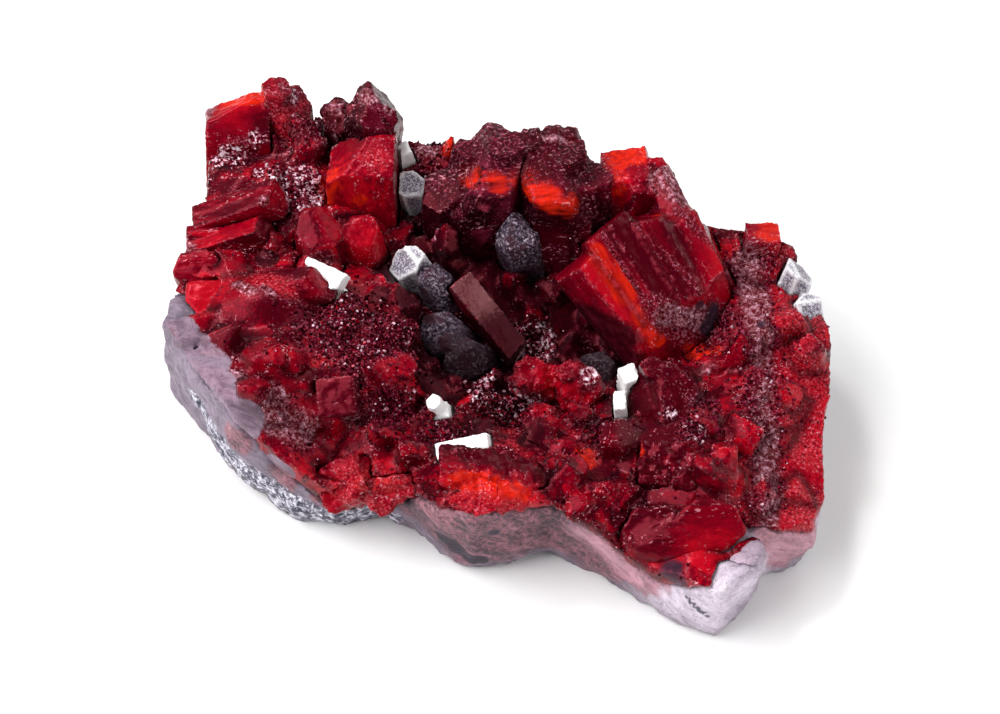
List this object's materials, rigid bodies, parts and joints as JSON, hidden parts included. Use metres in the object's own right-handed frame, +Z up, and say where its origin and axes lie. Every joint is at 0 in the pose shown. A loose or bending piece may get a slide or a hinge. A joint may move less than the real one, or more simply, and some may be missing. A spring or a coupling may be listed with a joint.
{
  "type": "ruby mineral specimen",
  "caption": "Hand specimen of deep red ruby crystals round an open hollow, on a pale marble base that rests on its flat underside.",
  "frame": {"origin": "centre of the specimen's box in plan, at the flat underside that it rests on", "axes": "+X along the specimen's long side, towards the end with the striated ruby; +Y towards the row of tall crystals at its back; +Z up"},
  "size_m": [0.099, 0.0628, 0.0282],
  "materials": {
    "ruby": "gloss",
    "black_mineral": "satin",
    "white_crystal": "gloss",
    "frosted_crystal": "satin",
    "marble": "matte"
  },
  "bodies": {
    "root": {"back_ruby": "ruby", "corner_ruby": "ruby", "deep_ruby": "ruby", "dusky_ruby": "ruby", "ember_ruby": "ruby", "front_ember": "ruby", "front_ruby": "ruby", "frosted_crystal_back": "frosted_crystal", "frosted_crystal_left": "frosted_crystal", "frosted_crystal_rim": "frosted_crystal", "heart_ruby": "ruby", "left_black_crystal": "black_mineral", "left_ruby": "ruby", "lens_ruby": "ruby", "lower_blade": "ruby", "marble_matrix": "marble", "mauve_blade": "ruby", "middle_black_crystal": "black_mineral", "right_black_crystal": "black_mineral", "rim_ruby": "ruby", "rose_ruby": "ruby", "ruby_crust": "ruby", "slope_ruby": "ruby", "square_ruby": "ruby", "striated_ruby": "ruby", "tip_ruby": "ruby", "tower_ruby": "ruby", "twin_ruby": "ruby", "upper_black_crystal": "black_mineral", "upper_blade": "ruby", "white_crystal_back": "white_crystal", "white_crystal_front": "white_crystal", "white_crystal_left": "white_crystal", "white_crystal_low": "white_crystal", "white_crystal_right": "white_crystal", "white_crystal_small": "white_crystal"}
  },
  "joints": []
}
